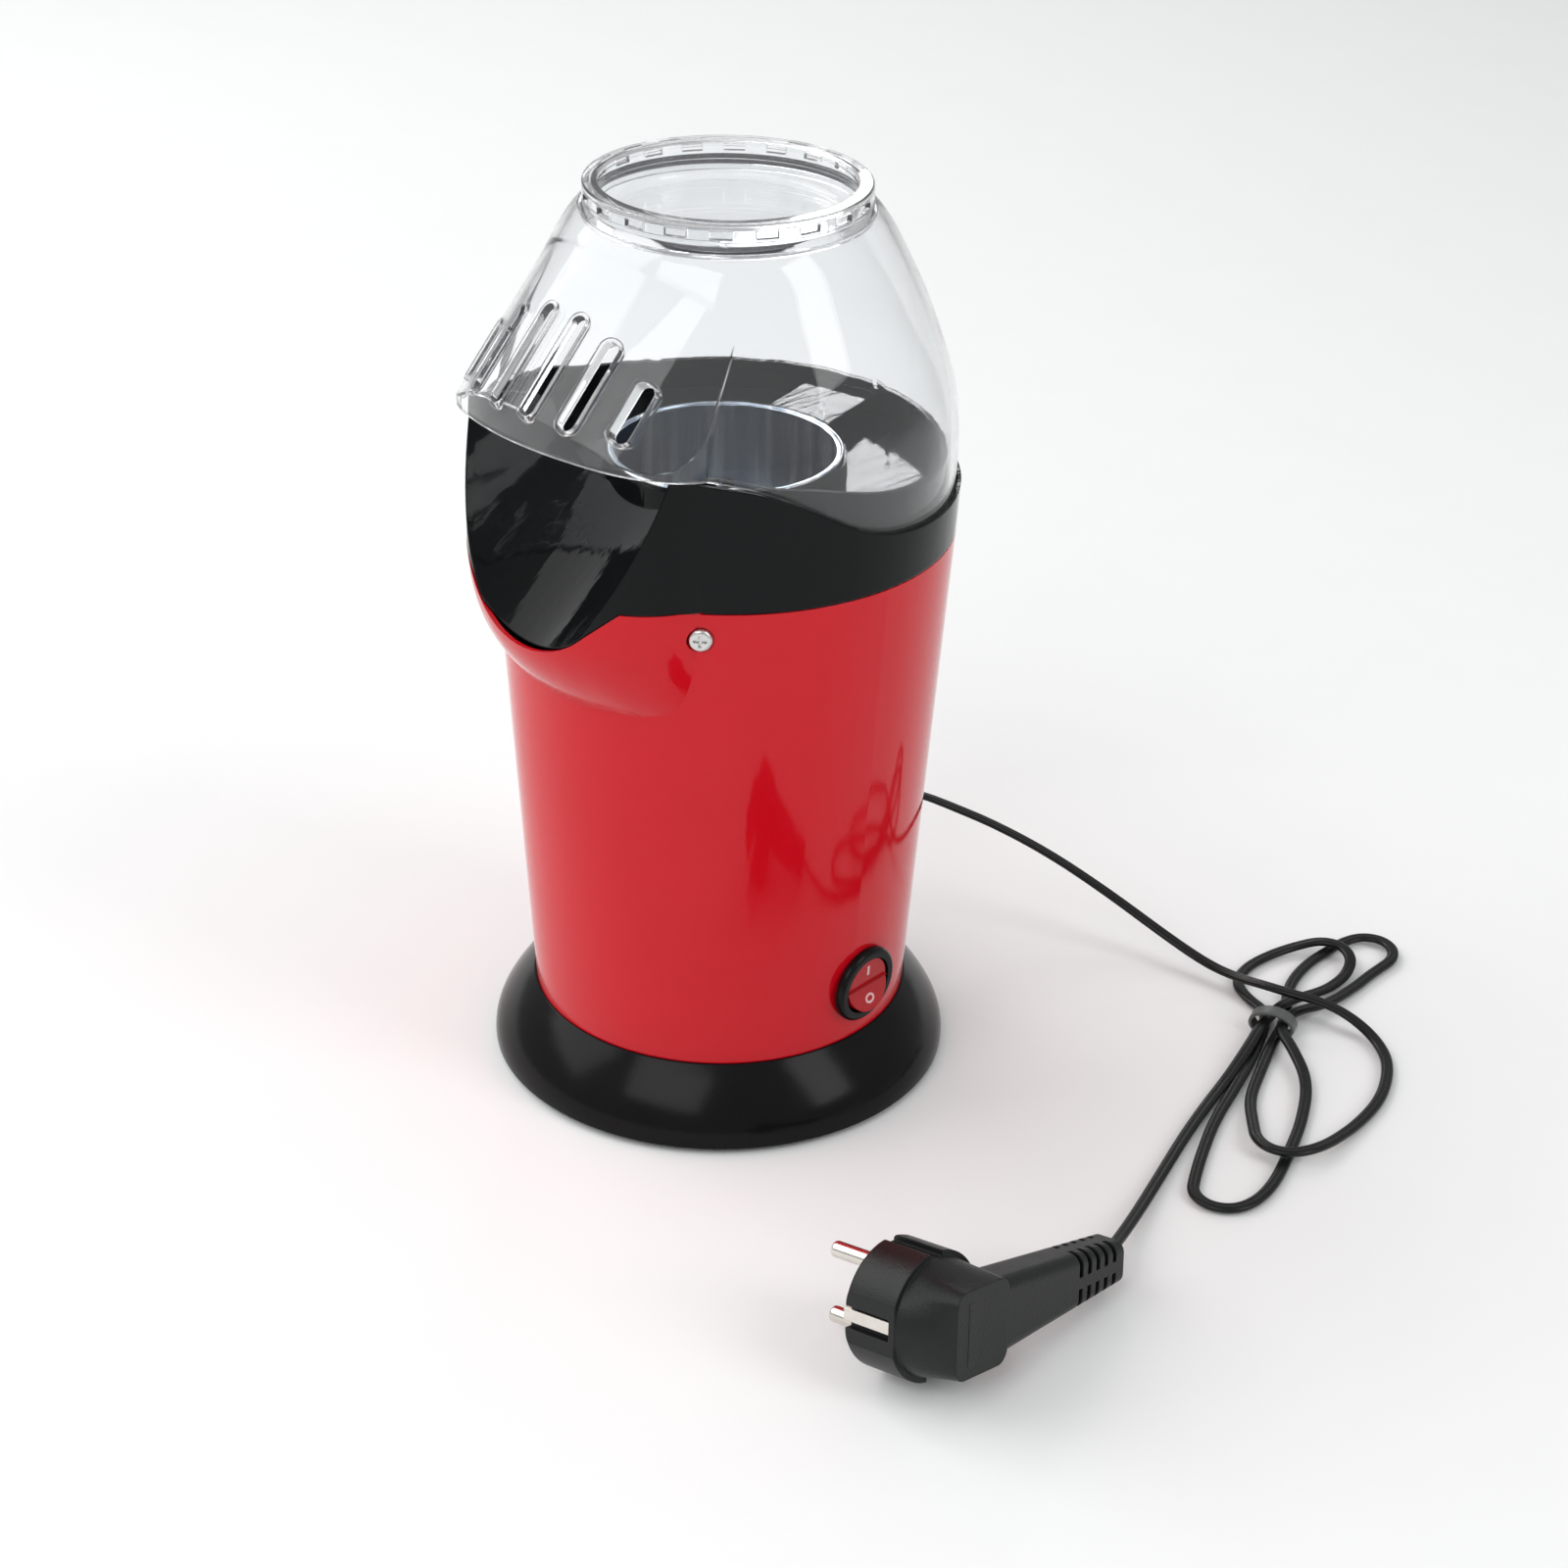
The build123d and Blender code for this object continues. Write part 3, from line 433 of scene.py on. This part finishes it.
def lead_outline(count=24):
    """Section of a two-core flat lead: two round cores side by side with a shallow groove between."""
    outline = []
    for step in range(count):
        turn = 2 * pi * step / count
        across = CORD_WIDTH / 2 * cos(turn)
        near_groove = max(0.0, 1 - abs(across) / (GROOVE_REACH * CORD_WIDTH))
        waist = 1 - GROOVE_DEPTH * near_groove ** 2
        squared = abs(sin(turn)) ** CORE_SQUARENESS * (1 if sin(turn) >= 0 else -1)
        outline.append((across, CORD_THICK / 2 * squared * waist))
    return outline


def sweep(name, line, outline):
    """Mesh tube with the outline's width kept level along the line."""
    verts, faces = [], []
    count = len(outline)
    last = len(line) - 1
    for i, point in enumerate(line):
        ahead = (line[min(i + 1, last)] - line[max(i - 1, 0)]).normalized()
        side = Vector((0, 0, 1)).cross(ahead).normalized()
        over = ahead.cross(side)
        verts += [point + side * a + over * b for a, b in outline]
    for start in range(0, last * count, count):
        after = start + count
        faces += [(start + j, start + k, after + k, after + j) for j, k in ring_of(count)]
    faces.append(tuple(reversed(range(count))))
    faces.append(tuple(last * count + j for j in range(count)))
    return mesh_object(name, verts, faces)


def make_cord(materials):
    line = route_line(ARRIVAL + LOOP_RIGHT + LOOP_FAR + LOOP_FRONT + LOOP_LEFT + TAIL)
    cord = sweep("mains_lead", line, lead_outline())
    cord.data.materials.append(materials["cord_sheath"])
    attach(cord, "housing")
    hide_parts("power_cord", "cord_tail", "cord_hank")


# Switch marks


def rocker_frame():
    """Frame of the rocker at rest: X along its axis, Z out of the shell."""
    turn = radians(SWITCH_AZIMUTH)
    slope = (SHELL_TOP_RADIUS - SHELL_FOOT_RADIUS) / (SHELL_TOP - SHELL_FOOT)
    radius = SHELL_FOOT_RADIUS + slope * (SWITCH_HEIGHT - SHELL_FOOT)
    axis = Vector((cos(turn), sin(turn), 0))
    out = Vector((sin(turn), -cos(turn), -slope)).normalized()
    upright = Matrix((axis, out.cross(axis), out)).transposed().to_4x4()
    place = Matrix.Translation((radius * sin(turn), SHIFT - radius * cos(turn), SWITCH_HEIGHT))
    return place @ upright @ Matrix.Rotation(radians(-ROCKER_TILT), 4, "X")


def oval(width, height, count=40):
    return [(width * cos(2 * pi * i / count), height * sin(2 * pi * i / count)) for i in range(count)]


def bar(width, height):
    return [(-width, -height), (width, -height), (width, height), (-width, height)]


def raised_bar(outline, thick):
    """Closed flat plate as thick below its plane as above it."""
    count = len(outline)
    verts = [(x, y, z) for z in (-thick, thick) for x, y in outline]
    faces = [tuple(range(count, 2 * count)), tuple(reversed(range(count)))]
    faces += [(j, k, count + k, count + j) for j, k in ring_of(count)]
    return verts, faces


def raised_ring(outer, inner, thick):
    """Closed flat ring as thick below its plane as above it."""
    count = len(outer)
    verts = [(x, y, z) for z in (-thick, thick) for x, y in outer + inner]
    upper = 2 * count
    faces = []
    for j, k in ring_of(count):
        faces.append((upper + j, upper + k, upper + count + k, upper + count + j))
        faces.append((j, count + j, count + k, k))
        faces.append((j, k, upper + k, upper + j))
        faces.append((count + j, upper + count + j, upper + count + k, count + k))
    return verts, faces


def make_mark(name, shape, place, slope, materials):
    face = rocker_frame() @ Matrix.Translation(place) @ Matrix.Rotation(radians(slope), 4, "X")
    verts, faces = shape
    mark = mesh_object(name, [face @ Vector(v) for v in verts], faces, smooth=False)
    mark.data.materials.append(materials["white_print"])
    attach(mark, "rocker")


def make_marks(materials):
    ring = raised_ring(oval(*RING_OUTER), oval(*RING_INNER), MARK_THICK)
    make_mark("mark_on", raised_bar(bar(*BAR_HALF), MARK_THICK), BAR_PLACE, FACE_SLOPE, materials)
    make_mark("mark_off", ring, RING_PLACE, -FACE_SLOPE, materials)


make_camera()
materials = make_materials()
dress_nodes(materials)
make_cord(materials)
make_marks(materials)
make_floor(materials)
make_world()
for softbox in SOFTBOXES:
    make_softbox(*softbox)
bpy.context.scene.view_settings.view_transform = "Standard"
